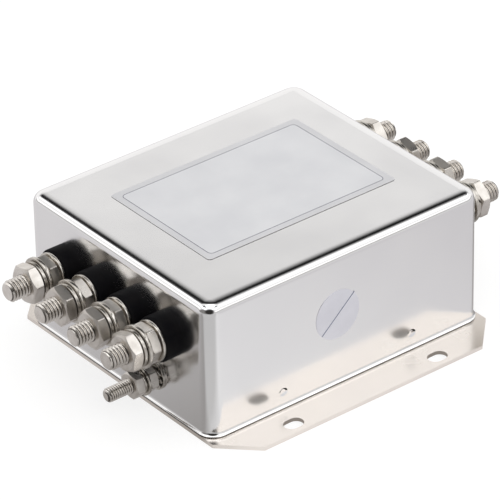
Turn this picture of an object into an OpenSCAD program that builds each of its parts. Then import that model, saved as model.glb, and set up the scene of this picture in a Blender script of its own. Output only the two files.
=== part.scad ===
// EMI line filter: a drawn steel can on a flanged base plate, with four insulated stud
// terminals at each end and an earth stud beside the line terminals.
// The origin is the centre of the base plate's underside. X runs from the line end to the
// load end, Y runs across the two mounting flanges, and Z points up. Sizes are in millimetres.

/* [Can] */
// Outside length, between the two terminal walls
can_length = 93; // [88.5:0.5:110]
// Outside width, between the two plain walls
can_width = 78.4; // [76:0.1:97]
// Height above the base plate
can_height = 40; // [37.5:0.5:53]
// Thickness of the sheet
can_wall = 1; // [0.7:0.1:1.3]
// Outer radius of the upright corners
corner_radius = 4.4; // [4:0.1:7.1]
// Outer radius of the top edge
top_radius = 2.9; // [1.8:0.1:3.5]
// How far the rim at the can's foot stands out
rim_reach = 0.65; // [0.35:0.05:0.9]
// Height of the rim's upright edge
rim_edge = 0.55; // [0.25:0.05:0.9]
// Radius of the hollow above the rim
rim_fillet = 0.6; // [0.25:0.05:0.9]

/* [Base plate] */
// Thickness of the plate
plate_thickness = 1.1; // [0.8:0.1:1.8]
// How far the plate shows past each terminal wall
plate_margin = 0.7; // [0.7:0.1:1.8]
// How far each mounting flange stands out from its wall
flange_reach = 11.3; // [10.2:0.1:14.2]
// Length of flange corner that is cut off at 45 degrees
flange_cut = 9.7; // [5.5:0.1:9.7]
// Distance between the mounting slots along X
slot_spacing = 49.6; // [35.5:0.1:62]
// Distance from the wall to the middle of each slot
slot_offset = 7.5; // [5.3:0.05:7.95]
// Length of a slot, along X
slot_length = 5.9; // [5:0.1:8]
// Width of a slot
slot_width = 4.3; // [3.5:0.1:4.8]

/* [Staked ears] */
// Distance between the two stake marks in a wall
stake_spacing = 44.2; // [27:0.1:62]
// Height of the stake marks above the plate
stake_height = 4.6; // [3.5:0.1:6.2]
// Diameter of a stake mark
stake_diameter = 2.9; // [2.2:0.1:3.5]
// Depth of a stake mark
stake_depth = 0.55; // [0.25:0.05:0.7]
// Width of the plate's ear behind a stake mark
ear_width = 8; // [6:0.5:10.5]
// Height of the ear above the plate
ear_height = 8; // [7.5:0.1:10.6]
// Gap between an ear and the wall that it stands behind
ear_gap = 0.1; // [0.05:0.05:0.25]

/* [Terminals] */
// Distance between neighbouring terminals
terminal_pitch = 14.4; // [13.3:0.1:15.9]
// Height of the terminals above the plate's underside
terminal_height = 25.6; // [23.9:0.1:28.3]
// Diameter of the insulating bushing
bushing_diameter = 12.8; // [10.6:0.1:13.1]
// How far the bushing stands out from the wall
bushing_length = 4.6; // [3.5:0.1:7.1]
// Radius of the bushing's front edge
bushing_edge = 0.7; // [0.2:0.1:1.3]
// Diameter of the bushing's neck in the wall
neck_diameter = 9; // [8.4:0.1:10]
// How far the neck reaches past the wall
neck_reach = 0.9; // [0.4:0.1:1.6]
// Diameter of the insulating washer inside the wall
insulator_diameter = 12.4; // [11.5:0.1:13]
// Thickness of the insulating washer
insulator_thickness = 2.2; // [1.8:0.1:2.7]
// Diameter of the terminal stud's thread
stud_diameter = 6; // [5:0.5:6]
// Pitch of the terminal stud's thread
stud_pitch = 1; // [0.75:0.05:1]
// How far the stud stands out past its outer nut
stud_end = 5.3; // [3.5:0.1:8.8]
// How far the stud stands out past its innermost nut
stud_tail = 1; // [0.5:0.1:1.5]

/* [Terminal nuts and washers] */
// Width across the flats of the terminal nuts
nut_across = 10; // [9:0.1:11]
// Height of the terminal nuts outside the can
nut_height = 3.4; // [2.7:0.1:4.4]
// Height of the thin nuts inside the can
thin_nut_height = 3; // [2.5:0.1:3.2]
// Diameter of the washer that seats on the bushing
seat_washer_diameter = 11.8; // [11:0.1:12.6]
// Thickness of the washer that seats on the bushing
seat_washer_thickness = 0.9; // [0.5:0.1:1.3]
// Diameter of the flat washer under the outer nut
flat_washer_diameter = 12.3; // [11:0.1:12.8]
// Thickness of the flat washer
flat_washer_thickness = 1.1; // [0.7:0.1:1.4]
// Diameter of the spring washer
spring_washer_diameter = 10.8; // [9.5:0.1:11.2]
// Thickness of the spring washer
spring_washer_thickness = 1.2; // [0.9:0.1:1.8]

/* [Earth stud] */
// Distance of the earth stud from the can's middle, towards -Y
earth_offset = 16.2; // [8.8:0.1:26.6]
// Height of the earth stud above the plate's underside
earth_height = 10.4; // [10.3:0.1:12.4]
// Diameter of the earth stud's thread
earth_diameter = 4; // [3:0.5:4]
// Pitch of the earth stud's thread
earth_pitch = 0.7; // [0.5:0.05:0.7]
// How far the earth stud stands out past its outer nut
earth_end = 7.6; // [4.4:0.1:10.6]
// Width across the flats of the earth nuts
earth_nut_across = 7; // [6:0.1:7]
// Height of the earth nuts
earth_nut_height = 2.8; // [2.2:0.1:2.9]
// Diameter of the flat washers on the earth stud
earth_washer_diameter = 8.4; // [7.6:0.1:9]
// Thickness of the flat washers on the earth stud
earth_washer_thickness = 0.7; // [0.4:0.1:1.1]
// Diameter across the teeth of the toothed washer
tooth_washer_diameter = 7.6; // [7:0.1:8.4]
// Thickness of the toothed and spring washers on the earth stud
earth_lock_thickness = 0.9; // [0.5:0.1:1.2]
// Diameter of the spring washer on the earth stud
earth_spring_diameter = 6.9; // [6.4:0.1:7.4]

/* [Label and sticker] */
// Length of the rating label on the top
label_length = 63.7; // [44:0.1:70]
// Width of the rating label
label_width = 42.9; // [35.5:0.1:53]
// Offset of the label's middle towards +X
label_shift_x = 0.9; // [-4.5:0.1:4.5]
// Offset of the label's middle towards +Y
label_shift_y = 1.2; // [-4.4:0.1:4.4]
// Corner radius of the label
label_corner = 1.1; // [0.4:0.1:3.5]
// Diameter of the inspection sticker on the -Y wall
sticker_diameter = 14.6; // [9:0.1:17.5]
// Offset of the sticker's middle towards -X
sticker_offset = 3.5; // [-8.8:0.1:17.7]
// Height of the sticker's middle above the plate's underside
sticker_height = 22.5; // [15.9:0.1:26.6]
// Thickness of the label and the sticker
film_thickness = 0.1; // [0.05:0.05:0.2]

/* [Circuit board] */
// Height of the board's underside above the plate
board_standoff = 3.2; // [2.8:0.1:3.4]
// Thickness of the board
board_thickness = 1.6; // [1.2:0.1:1.7]
// Gap between the board's edges and the can's walls
board_gap = 3.1; // [2.9:0.1:3.5]
// Distance of the support posts from the board's edges
support_inset = 4.9; // [4.4:0.1:5.3]
// Diameter of a support post
support_diameter = 5.3; // [4.4:0.1:5.7]
// Diameter of the support's pin through the board
support_pin = 2.7; // [2.2:0.1:3]
// Height of the pin's head above the board
support_head = 1.4; // [0.9:0.1:1.8]
// Thickness of the insulating sheet on the plate
sheet_thickness = 0.4; // [0.2:0.1:0.7]
// How far soldered pins stand out under the board
pin_reach = 1.1; // [0.7:0.1:1.3]

/* [Chokes] */
// Outer diameter of a choke's core
core_outer = 30.1; // [26.5:0.1:30.5]
// Inner diameter of a choke's core
core_inner = 15.9; // [15:0.1:19.5]
// Height of a choke's core
core_height = 12.4; // [9:0.1:13.5]
// Radius of the coating at the core's edges
core_edge = 1.3; // [0.4:0.1:2.2]
// Thickness of the winding's wire
wire_size = 1.4; // [1.1:0.1:1.5]
// Gap between the core and its wire, and between turns
wire_gap = 0.15; // [0.1:0.05:0.2]
// Turns in each of a choke's four windings
turns = 5; // [3:1:5]
// Gap between neighbouring components on the board
component_gap = 0.9; // [0.5:0.1:1.1]

/* [Capacitors and resistors] */
// Length of a line capacitor
x_cap_length = 27.9; // [17.5:0.1:28.5]
// Thickness of a line capacitor
x_cap_thickness = 10.6; // [7:0.1:11]
// Height of a line capacitor
x_cap_height = 19.5; // [10.5:0.5:23]
// Distance between a line capacitor's pins
x_cap_pins = 24.3; // [13.5:0.1:25]
// Length of an earth capacitor
y_cap_length = 11.5; // [9:0.5:12]
// Thickness of an earth capacitor
y_cap_thickness = 5.3; // [3.5:0.1:6]
// Height of an earth capacitor
y_cap_height = 10.6; // [7:0.1:12.5]
// Distance between an earth capacitor's pins
y_cap_pins = 8.8; // [6:0.1:9]
// Radius of the capacitors' upright edges
cap_edge = 0.7; // [0.3:0.1:1.3]
// Diameter of the capacitors' and resistors' pins
pin_diameter = 0.8; // [0.5:0.1:1]
// Diameter of a discharge resistor
resistor_diameter = 3.7; // [2.7:0.1:4.1]
// Length of a discharge resistor
resistor_length = 8; // [5.5:0.5:8.5]
// Height of a resistor above the board
resistor_lift = 0.4; // [0.2:0.1:0.9]

/* [Lugs and leads] */
// Diameter of a solder lug's ring
lug_diameter = 10.4; // [9.6:0.1:11.6]
// Thickness of a solder lug
lug_thickness = 0.8; // [0.5:0.1:1]
// Gap between a nut's corners and the lug's barrel
barrel_gap = 0.3; // [0.1:0.1:1.5]
// Length of the lug's barrel
barrel_length = 5; // [3.5:0.1:5.5]
// Diameter of the lug's barrel
barrel_diameter = 3.2; // [2.8:0.1:3.5]
// Diameter of a lead
lead_diameter = 1.9; // [1.3:0.1:2.2]
// Width of the earth bracket
bracket_width = 8; // [7:0.5:10.5]
// Thickness of the earth bracket
bracket_thickness = 0.6; // [0.4:0.1:0.7]
// Length of the earth bracket's foot on the board
bracket_foot = 5.3; // [4.5:0.1:6]

/* [Clearances] */
// Radial clearance between a nut and its thread
thread_clearance = 0.05; // [0.02:0.01:0.1]
// How far a rod's pitch diameter runs on past its outer nut
thread_relief = 0.3; // [0.2:0.1:0.5]
// Radial clearance between a washer and its stud
washer_clearance = 0.2; // [0.1:0.05:0.3]
// Radial clearance of a stud in its bushing, and of a neck in its hole
bore_clearance = 0.1; // [0.05:0.05:0.2]
// Radial clearance of a pin in its board hole
pin_clearance = 0.1; // [0.05:0.05:0.2]

/* [Hidden] */
$fn = 64;
line_end = -1;
load_end = 1;
terminals = 4;

// Turn of each nut, from +Y towards +Z, for terminals 1 to 4
inner_nut_turns = [10, 30, 5, 58];
outer_nut_turns = [47, 17, 8, 41];
thin_nut_turn = 30;
earth_nut_turn = 12;
spring_washer_turns = [200, 250, 230, 160];

// Enamel on the winding's wire, taken off where its ends are soldered
enamel = 0.1;

can_top = plate_thickness + can_height;
wall_inside = can_length / 2 - can_wall;
side_inside = can_width / 2 - can_wall;
slot_y = can_width / 2 + slot_offset;
ear_face = side_inside - ear_gap;
stake_radius = (pow(stake_diameter / 2, 2) + pow(stake_depth, 2)) / (2 * stake_depth);
bulge_radius = stake_radius + can_wall;
ear_hole = sqrt(pow(bulge_radius, 2) - pow(bulge_radius - stake_depth, 2)) + bore_clearance;

// Places of the terminal stack, measured outwards from the wall's outer face
seat_washer_place = bushing_length;
inner_nut_place = seat_washer_place + seat_washer_thickness;
flat_washer_place = inner_nut_place + nut_height;
spring_washer_place = flat_washer_place + flat_washer_thickness;
outer_nut_place = spring_washer_place + spring_washer_thickness;
stud_tip = outer_nut_place + nut_height + stud_end;
insulator_place = -can_wall - insulator_thickness;
clamp_nut_place = insulator_place - thin_nut_height;
lug_place = clamp_nut_place - lug_thickness;
lug_nut_place = lug_place - thin_nut_height;
stud_root = lug_nut_place - stud_tail;
stud_engaged = [
  [lug_nut_place, lug_place],
  [clamp_nut_place, insulator_place],
  [inner_nut_place, flat_washer_place],
  [outer_nut_place, outer_nut_place + nut_height + thread_relief]
];

// Places of the earth stack, measured outwards from the wall's outer face
tooth_washer_place = earth_washer_thickness;
earth_inner_nut_place = tooth_washer_place + earth_lock_thickness;
earth_flat_washer_place = earth_inner_nut_place + earth_nut_height;
earth_spring_washer_place = earth_flat_washer_place + earth_washer_thickness;
earth_outer_nut_place = earth_spring_washer_place + earth_lock_thickness;
earth_tip = earth_outer_nut_place + earth_nut_height + earth_end;
earth_clamp_nut_place = -can_wall - earth_nut_height;
bracket_place = earth_clamp_nut_place - bracket_thickness;
bracket_nut_place = bracket_place - earth_nut_height;
earth_root = bracket_nut_place - stud_tail;
earth_engaged = [
  [bracket_nut_place, bracket_place],
  [earth_clamp_nut_place, -can_wall],
  [earth_inner_nut_place, earth_flat_washer_place],
  [earth_outer_nut_place, earth_outer_nut_place + earth_nut_height + thread_relief]
];

// The board and what stands on it
board_bottom = plate_thickness + board_standoff;
board_top = board_bottom + board_thickness;
board_length = 2 * (wall_inside - board_gap);
board_width = 2 * (side_inside - board_gap);
support_x = board_length / 2 - support_inset;
support_y = board_width / 2 - support_inset;
sheet_length = 2 * (support_x - support_diameter / 2 - component_gap);
sheet_width = 2 * (support_y - support_diameter / 2 - component_gap);
lug_reach = nut_across / sqrt(3) + barrel_gap + barrel_length;
lead_x = can_length / 2 + lug_place + lug_thickness / 2;
lead_top = terminal_height - lug_reach + barrel_length - lug_thickness;

wire_end = wire_size - 2 * enamel;
coil_outer = core_outer / 2 + wire_gap + wire_size;
coil_inner = core_inner / 2 - wire_gap - wire_size;
turn_step = 2 * asin((wire_size + wire_gap) / coil_inner / 2);
choke_x = coil_outer + component_gap / 2;
choke_y = -(board_width / 2 - coil_outer - component_gap);
coil_height = core_height + 2 * (wire_gap + wire_size);
choke_z = board_top + coil_height / 2;
y_cap_row = board_width / 2 - component_gap - y_cap_thickness / 2;
x_cap_row = y_cap_row - y_cap_thickness / 2 - component_gap - x_cap_thickness / 2;
x_cap_step = x_cap_thickness + component_gap;
x_cap_x = x_cap_length / 2 + resistor_diameter / 2 + component_gap;
y_cap_step = (support_x - support_diameter / 2 - component_gap - y_cap_length / 2) / 1.5;
resistor_z = board_top + resistor_lift + resistor_diameter / 2;
resistor_pins = resistor_length + 1.5 * pin_diameter;
hidden_cut = 1;

steel = [0.82, 0.82, 0.82];
plated = [0.78, 0.77, 0.74];
black_plastic = [0.05, 0.05, 0.07];
silver_film = [0.86, 0.89, 0.94];

// Rectangle with rounded corners, centred
module soft_rectangle(length, width, radius) {
  square([length - 2 * radius, width], center = true);
  square([length, width - 2 * radius], center = true);
  for (x = [-1, 1], y = [-1, 1])
    translate([x * (length / 2 - radius), y * (width / 2 - radius)])
      circle(r = radius);
}

// Half section of a rounded can corner, to be turned about its own axis
module corner_profile(radius, height, edge) {
  square([radius, height - edge]);
  square([radius - edge, height]);
  translate([radius - edge, height - edge])
    intersection() {
      circle(r = edge);
      square(edge);
    }
}

// Box with rounded upright corners and a rounded top edge, standing on z = 0
module soft_box(length, width, height, radius, edge) {
  inner_length = length - 2 * radius;
  inner_width = width - 2 * radius;
  for (x = [-1, 1], y = [-1, 1])
    translate([x * inner_length / 2, y * inner_width / 2, 0])
      rotate_extrude()
        corner_profile(radius, height, edge);
  translate([-inner_length / 2, -width / 2, 0])
    cube([inner_length, width, height - edge]);
  translate([-length / 2, -inner_width / 2, 0])
    cube([length, inner_width, height - edge]);
  translate([-inner_length / 2, edge - width / 2, 0])
    cube([inner_length, width - 2 * edge, height]);
  translate([edge - length / 2, -inner_width / 2, 0])
    cube([length - 2 * edge, inner_width, height]);
  for (side = [-1, 1]) {
    translate([0, side * (width / 2 - edge), height - edge])
      rotate([0, 90, 0])
        cylinder(r = edge, h = inner_length, center = true);
    translate([side * (length / 2 - edge), 0, height - edge])
      rotate([90, 0, 0])
        cylinder(r = edge, h = inner_width, center = true);
  }
}

// Section of the rim, outwards from the wall
module rim_section() {
  square([rim_reach, rim_edge]);
  difference() {
    square([rim_fillet, rim_edge + rim_fillet]);
    translate([rim_fillet, rim_edge + rim_fillet])
      circle(r = rim_fillet);
  }
}

// The rim runs along the four walls and turns round the four corners
module rim() {
  run_x = can_length - 2 * corner_radius;
  run_y = can_width - 2 * corner_radius;
  for (side = [0, 1]) {
    mirror([0, side, 0])
      translate([0, can_width / 2, 0])
        rotate([90, 0, 90])
          linear_extrude(run_x, center = true)
            rim_section();
    mirror([side, 0, 0])
      translate([can_length / 2, 0, 0])
        rotate([90, 0, 0])
          linear_extrude(run_y, center = true)
            rim_section();
  }
  for (x = [-1, 1], y = [-1, 1])
    translate([x * run_x / 2, y * run_y / 2, 0])
      rotate([0, 0, atan2(y, x) - 45])
        rotate_extrude(angle = 90)
          translate([corner_radius, 0])
            rim_section();
}

// Places the children at both stake marks of both plain walls, with local Z into the can
module at_stakes() {
  for (x = [-1, 1], side = [-1, 1])
    translate([x * stake_spacing / 2, side * can_width / 2, plate_thickness + stake_height])
      rotate([side * 90, 0, 0])
        children();
}

// Places the children on one terminal's axis, with local Z outwards and z = 0 on the wall
module at_terminal(end, number) {
  translate([end * can_length / 2, (2.5 - number) * terminal_pitch, terminal_height])
    rotate([90, 0, 90 * end])
      children();
}

module at_terminals(end) {
  for (number = [1 : terminals])
    at_terminal(end, number)
      children();
}

module at_earth() {
  translate([line_end * can_length / 2, -earth_offset, earth_height])
    rotate([90, 0, 90 * line_end])
      children();
}

// Turns a nut so that its vertex lies at an angle measured from +Y towards +Z
module turned(end, angle) {
  rotate([0, 0, end == load_end ? angle : 180 - angle])
    children();
}

// Radius of a metric thread at its pitch diameter
function pitch_radius(thread, pitch) = (thread - pitch * 0.75 * sin(60)) / 2;

// Hexagon nut with chamfered faces and a hole countersunk past the thread's outer diameter
module hex_nut(across, height, thread, pitch) {
  corner = across / sqrt(3);
  flat = across * 0.47;
  bevel = (corner - flat) * tan(30);
  bore = pitch_radius(thread, pitch) + thread_clearance;
  lead_in = thread * 0.06;
  difference() {
    intersection() {
      cylinder(r = corner, h = height, $fn = 6);
      rotate_extrude()
        polygon([
          [0, 0],
          [flat, 0],
          [corner, bevel],
          [corner, height - bevel],
          [flat, height],
          [0, height]
        ]);
    }
    translate([0, 0, -hidden_cut])
      cylinder(r = bore, h = height + 2 * hidden_cut);
    cylinder(r1 = bore + lead_in, r2 = bore, h = lead_in);
    translate([0, 0, height - lead_in])
      cylinder(r1 = bore, r2 = bore + lead_in, h = lead_in);
  }
}

// Flat washer with a slight bevel on its outer face
module flat_washer(diameter, thickness, thread) {
  radius = diameter / 2;
  bevel = thickness * 0.2;
  hole = thread / 2 + washer_clearance;
  rotate_extrude()
    polygon([
      [hole, 0],
      [radius, 0],
      [radius, thickness - bevel],
      [radius - bevel, thickness],
      [hole, thickness]
    ]);
}

// Spring washer, pressed flat, with its slanting split
module spring_washer(diameter, thickness, thread, turn) {
  split = thickness * 0.4;
  difference() {
    cylinder(d = diameter, h = thickness);
    translate([0, 0, -hidden_cut])
      cylinder(r = thread / 2 + washer_clearance, h = thickness + 2 * hidden_cut);
    rotate([0, 0, turn])
      translate([diameter / 4, 0, thickness / 2])
        rotate([35, 0, 0])
          cube([diameter, split, thickness * 3], center = true);
  }
}

// Lock washer with twisted teeth round its edge
module tooth_washer(diameter, thickness, thread) {
  teeth = 10;
  ring = (diameter + thread) / 4;
  tooth = diameter / 2 - ring;
  difference() {
    union() {
      translate([0, 0, thickness / 4])
        cylinder(r = ring, h = thickness / 2);
      for (i = [0 : teeth - 1])
        rotate([0, 0, i * 360 / teeth])
          translate([ring - tooth / 2, 0, thickness / 2])
            rotate([20, 0, 0])
              translate([0, -tooth * 0.6, -thickness / 4])
                cube([tooth * 1.5, tooth * 1.2, thickness / 2]);
    }
    translate([0, 0, -hidden_cut])
      cylinder(r = thread / 2 + washer_clearance, h = thickness + 2 * hidden_cut);
  }
}

// Threaded rod with chamfered ends: its outer diameter where it is bare, and its pitch diameter
// on the stretches that nuts engage, each given as [from, to]
module threaded_rod(thread, pitch, root, tip, engaged) {
  radius = thread / 2;
  core = pitch_radius(thread, pitch);
  chamfer = thread * 0.1;
  rotate_extrude()
    polygon([
      [0, root],
      [radius - chamfer, root],
      [radius, root + chamfer],
      for (stretch = engaged)
        each [
          [radius, stretch[0]],
          [core, stretch[0]],
          [core, stretch[1]],
          [radius, stretch[1]]
        ],
      [radius, tip - chamfer],
      [radius - chamfer, tip],
      [0, tip]
    ]);
}

// The drawn can: rounded shell, rim, stake marks, and holes for the necks and the earth stud
module can() {
  color(steel)
    difference() {
      union() {
        difference() {
          union() {
            translate([0, 0, plate_thickness])
              soft_box(can_length, can_width, can_height, corner_radius, top_radius);
            translate([0, 0, plate_thickness])
              rim();
          }
          translate([0, 0, plate_thickness - hidden_cut])
            soft_box(
              can_length - 2 * can_wall,
              can_width - 2 * can_wall,
              can_height - can_wall + hidden_cut,
              corner_radius - can_wall,
              top_radius - can_wall
            );
        }
        at_stakes()
          intersection() {
            translate([0, 0, stake_depth - stake_radius])
              sphere(r = bulge_radius);
            translate([0, 0, can_wall / 2 + stake_depth / 2])
              cube([2 * bulge_radius, 2 * bulge_radius, can_wall + stake_depth], center = true);
          }
      }
      at_stakes()
        translate([0, 0, stake_depth - stake_radius])
          sphere(r = stake_radius);
      for (end = [line_end, load_end])
        at_terminals(end)
          cylinder(d = neck_diameter + 2 * bore_clearance, h = 4 * can_wall, center = true);
      at_earth()
        cylinder(d = earth_diameter + 2 * bore_clearance, h = 4 * can_wall, center = true);
    }
}

// Round-ended slot along X
module slot_outline() {
  straight = slot_length - slot_width;
  square([straight, slot_width], center = true);
  for (x = [-1, 1])
    translate([x * straight / 2, 0])
      circle(d = slot_width);
}

// Flat plate with two slotted flanges, and four ears folded up behind the stake marks
module base_plate() {
  half_length = can_length / 2 + plate_margin;
  half_width = can_width / 2 + flange_reach;
  window = ear_height + plate_thickness;
  color(steel) {
    difference() {
      linear_extrude(plate_thickness)
        difference() {
          polygon([
            for (corner = [[1, -1], [1, 1], [-1, 1], [-1, -1]])
              for (end = corner.x * corner.y < 0 ? [0, 1] : [1, 0])
                [
                  corner.x * (half_length - (1 - end) * flange_cut),
                  corner.y * (half_width - end * flange_cut)
                ]
          ]);
          for (x = [-1, 1], y = [-1, 1])
            translate([x * slot_spacing / 2, y * slot_y])
              slot_outline();
        }
      for (x = [-1, 1], y = [-1, 1])
        translate([x * stake_spacing / 2, y * (ear_face - window / 2), 0])
          cube([ear_width, window, 4 * plate_thickness], center = true);
    }
    for (x = [-1, 1], side = [0, 1])
      mirror([0, side, 0])
        translate([x * stake_spacing / 2, ear_face, 0])
          difference() {
            rotate([90, 0, 90])
              linear_extrude(ear_width, center = true)
                ear_section();
            translate([0, 0, plate_thickness + stake_height])
              rotate([90, 0, 0])
                cylinder(r = ear_hole, h = 4 * plate_thickness, center = true);
          }
  }
}

// Section of an ear: a quarter-round fold and an upright leg
module ear_section() {
  translate([-plate_thickness, plate_thickness])
    square([plate_thickness, ear_height]);
  translate([0, plate_thickness])
    intersection() {
      circle(r = plate_thickness);
      translate([-plate_thickness, -plate_thickness])
        square(plate_thickness);
    }
}

// Printed film on the top of the can
module rating_label() {
  color(silver_film)
    translate([label_shift_x, label_shift_y, can_top])
      linear_extrude(film_thickness)
        soft_rectangle(label_length, label_width, label_corner);
}

// Round film on the -Y wall
module inspection_sticker() {
  color(silver_film)
    translate([-sticker_offset, -can_width / 2, sticker_height])
      rotate([90, 0, 0])
        cylinder(d = sticker_diameter, h = film_thickness);
}

// Moulded bushing: a round-edged collar outside the wall and a neck through it
module bushing(end, number) {
  radius = bushing_diameter / 2;
  color(black_plastic)
    at_terminal(end, number)
      difference() {
        union() {
          rotate_extrude()
            corner_profile(radius, bushing_length, bushing_edge);
          translate([0, 0, -can_wall - neck_reach])
            cylinder(d = neck_diameter, h = can_wall + neck_reach + hidden_cut);
        }
        translate([0, 0, -can_wall - neck_reach - hidden_cut])
          cylinder(
            d = stud_diameter + 2 * bore_clearance,
            h = bushing_length + can_wall + neck_reach + 2 * hidden_cut
          );
      }
}

module terminal_stud(end, number) {
  color(plated)
    at_terminal(end, number)
      threaded_rod(stud_diameter, stud_pitch, stud_root, stud_tip, stud_engaged);
}

module seat_washers(end) {
  color(plated)
    at_terminals(end)
      translate([0, 0, seat_washer_place])
        flat_washer(seat_washer_diameter, seat_washer_thickness, stud_diameter);
}

module inner_nuts(end) {
  color(plated)
    for (number = [1 : terminals])
      at_terminal(end, number)
        translate([0, 0, inner_nut_place])
          turned(end, inner_nut_turns[number - 1])
            hex_nut(nut_across, nut_height, stud_diameter, stud_pitch);
}

module flat_washers(end) {
  color(plated)
    at_terminals(end)
      translate([0, 0, flat_washer_place])
        flat_washer(flat_washer_diameter, flat_washer_thickness, stud_diameter);
}

module spring_washers(end) {
  color(plated)
    for (number = [1 : terminals])
      at_terminal(end, number)
        translate([0, 0, spring_washer_place])
          spring_washer(
            spring_washer_diameter,
            spring_washer_thickness,
            stud_diameter,
            spring_washer_turns[number - 1]
          );
}

module outer_nuts(end) {
  color(plated)
    for (number = [1 : terminals])
      at_terminal(end, number)
        translate([0, 0, outer_nut_place])
          turned(end, outer_nut_turns[number - 1])
            hex_nut(nut_across, nut_height, stud_diameter, stud_pitch);
}

// Insulating washers inside the wall, each recessed for the end of its bushing's neck
module inner_insulators(end) {
  neck = neck_diameter / 2 + bore_clearance;
  hole = stud_diameter / 2 + bore_clearance;
  floor_place = -can_wall - neck_reach;
  color(black_plastic)
    at_terminals(end)
      rotate_extrude()
        polygon([
          [hole, insulator_place],
          [insulator_diameter / 2, insulator_place],
          [insulator_diameter / 2, -can_wall],
          [neck, -can_wall],
          [neck, floor_place],
          [hole, floor_place]
        ]);
}

// Two thin nuts on each stud inside the can: one clamps the bushing, one holds the lug
module clamp_nuts(end) {
  color(plated)
    at_terminals(end)
      for (place = [clamp_nut_place, lug_nut_place])
        translate([0, 0, place])
          turned(end, thin_nut_turn)
            hex_nut(nut_across, thin_nut_height, stud_diameter, stud_pitch);
}

// Solder lugs: a ring on the stud, a neck, and a barrel that holds the lead
module solder_lugs(end) {
  color("goldenrod")
    for (number = [1 : terminals])
      at_terminal(end, number)
        translate([0, 0, lug_place + lug_thickness / 2])
          difference() {
            union() {
              cylinder(d = lug_diameter, h = lug_thickness, center = true);
              translate([0, -lug_reach / 2, 0])
                cube([barrel_diameter, lug_reach - 2, lug_thickness], center = true);
              translate([0, barrel_length - lug_reach, 0])
                rotate([90, 0, 0])
                  cylinder(d = barrel_diameter, h = barrel_length);
            }
            cylinder(d = stud_diameter + 2 * washer_clearance, h = 4 * lug_thickness, center = true);
            translate([0, barrel_length - lug_reach - lug_thickness, 0])
              rotate([90, 0, 0])
                cylinder(d = lead_diameter + 2 * pin_clearance, h = barrel_length);
          }
}

// Places the children where each lead of one end goes through the board
module at_leads(end) {
  for (number = [1 : terminals])
    translate([end * lead_x, (2.5 - number) * terminal_pitch, 0])
      children();
}

module leads(end) {
  bottom = board_bottom - pin_reach;
  color("chocolate")
    at_leads(end)
      translate([0, 0, bottom])
        cylinder(d = lead_diameter, h = lead_top - bottom);
}

module earth_stud() {
  color(plated)
    at_earth()
      threaded_rod(earth_diameter, earth_pitch, earth_root, earth_tip, earth_engaged);
}

module earth_wall_washer() {
  color(plated)
    at_earth()
      flat_washer(earth_washer_diameter, earth_washer_thickness, earth_diameter);
}

module earth_tooth_washer() {
  color(plated)
    at_earth()
      translate([0, 0, tooth_washer_place])
        tooth_washer(tooth_washer_diameter, earth_lock_thickness, earth_diameter);
}

module earth_nut(place) {
  color(plated)
    at_earth()
      translate([0, 0, place])
        turned(line_end, earth_nut_turn)
          hex_nut(earth_nut_across, earth_nut_height, earth_diameter, earth_pitch);
}

module earth_flat_washer() {
  color(plated)
    at_earth()
      translate([0, 0, earth_flat_washer_place])
        flat_washer(earth_washer_diameter, earth_washer_thickness, earth_diameter);
}

module earth_spring_washer() {
  color(plated)
    at_earth()
      translate([0, 0, earth_spring_washer_place])
        spring_washer(earth_spring_diameter, earth_lock_thickness, earth_diameter, 140);
}

module earth_clamp_nuts() {
  earth_nut(earth_clamp_nut_place);
  earth_nut(bracket_nut_place);
}

// Bent strip that joins the earth stud to the board
module earth_bracket() {
  leg_top = earth_washer_diameter / 2;
  foot_level = board_top - earth_height;
  color("goldenrod")
    at_earth()
      difference() {
        union() {
          translate([-bracket_width / 2, foot_level, bracket_place])
            cube([bracket_width, leg_top - foot_level, bracket_thickness]);
          translate([-bracket_width / 2, foot_level, bracket_place - bracket_foot])
            cube([bracket_width, bracket_thickness, bracket_foot + bracket_thickness]);
        }
        translate([0, 0, bracket_place - hidden_cut])
          cylinder(
            d = earth_diameter + 2 * washer_clearance,
            h = bracket_thickness + 2 * hidden_cut
          );
      }
}

module at_supports() {
  for (x = [-1, 1], y = [-1, 1])
    translate([x * support_x, y * support_y, 0])
      children();
}

// Places the children at the two soldered pins of each of a choke's four windings
module at_choke_pins(end) {
  translate([end * choke_x, choke_y, 0])
    for (winding = [0 : 3], last = [-1, 1])
      rotate([0, 0, 45 + 90 * winding + last * (turns - 1) / 2 * turn_step])
        translate([coil_outer - wire_size / 2, 0, 0])
          children();
}

module at_x_caps() {
  for (x = [-1, 1], row = [0, 1])
    translate([x * x_cap_x, x_cap_row - row * x_cap_step, 0])
      children();
}

module at_y_caps() {
  for (i = [-1.5 : 1.5])
    translate([i * y_cap_step, y_cap_row, 0])
      children();
}

module at_resistors() {
  for (row = [0, 1])
    translate([0, x_cap_row - row * x_cap_step, 0])
      children();
}

// Pair of pins with their middle on the local origin, through the board
module pin_pair(spacing, diameter, top) {
  bottom = board_bottom - pin_reach;
  for (side = [-1, 1])
    translate([side * spacing / 2, 0, bottom])
      cylinder(d = diameter, h = top - bottom);
}

// Board with a hole for each pin, lead and support
module circuit_board() {
  color("darkgreen")
    translate([0, 0, board_bottom])
      linear_extrude(board_thickness)
        difference() {
          soft_rectangle(board_length, board_width, component_gap);
          at_supports()
            circle(d = support_pin + 2 * pin_clearance);
          for (end = [line_end, load_end]) {
            at_leads(end)
              circle(d = lead_diameter + 2 * pin_clearance);
            at_choke_pins(end)
              circle(d = wire_end + 2 * pin_clearance);
          }
          for (side = [-1, 1]) {
            at_x_caps()
              translate([side * x_cap_pins / 2, 0])
                circle(d = pin_diameter + 2 * pin_clearance);
            at_y_caps()
              translate([side * y_cap_pins / 2, 0])
                circle(d = pin_diameter + 2 * pin_clearance);
            at_resistors()
              translate([0, side * resistor_pins / 2])
                circle(d = pin_diameter + 2 * pin_clearance);
          }
        }
}

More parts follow.
